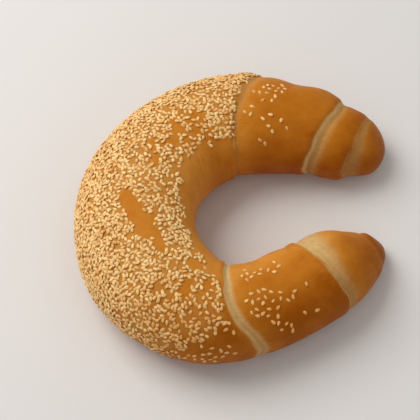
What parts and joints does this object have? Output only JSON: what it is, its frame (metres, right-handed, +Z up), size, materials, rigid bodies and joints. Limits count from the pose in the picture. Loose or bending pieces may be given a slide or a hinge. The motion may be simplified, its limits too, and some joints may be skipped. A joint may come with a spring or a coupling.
{
  "type": "crescent roll with sesame seeds",
  "caption": "Baked crescent roll: a tapered roll of wound dough bent into an open C, with stepped layer edges and sesame seeds over its belly.",
  "frame": {"origin": "centre of the bounding box, at the level of the surface the roll lies on", "axes": "+Z up, +X from the belly to the open side of the crescent, +Y from the front arm to the back arm"},
  "size_m": [0.1533, 0.1502, 0.0465],
  "materials": {
    "crust": "golden brown baked crust with a soft satin sheen",
    "sesame": "pale golden toasted sesame seed"
  },
  "bodies": {
    "root": {"crescent_roll": "crust"}
  },
  "joints": []
}
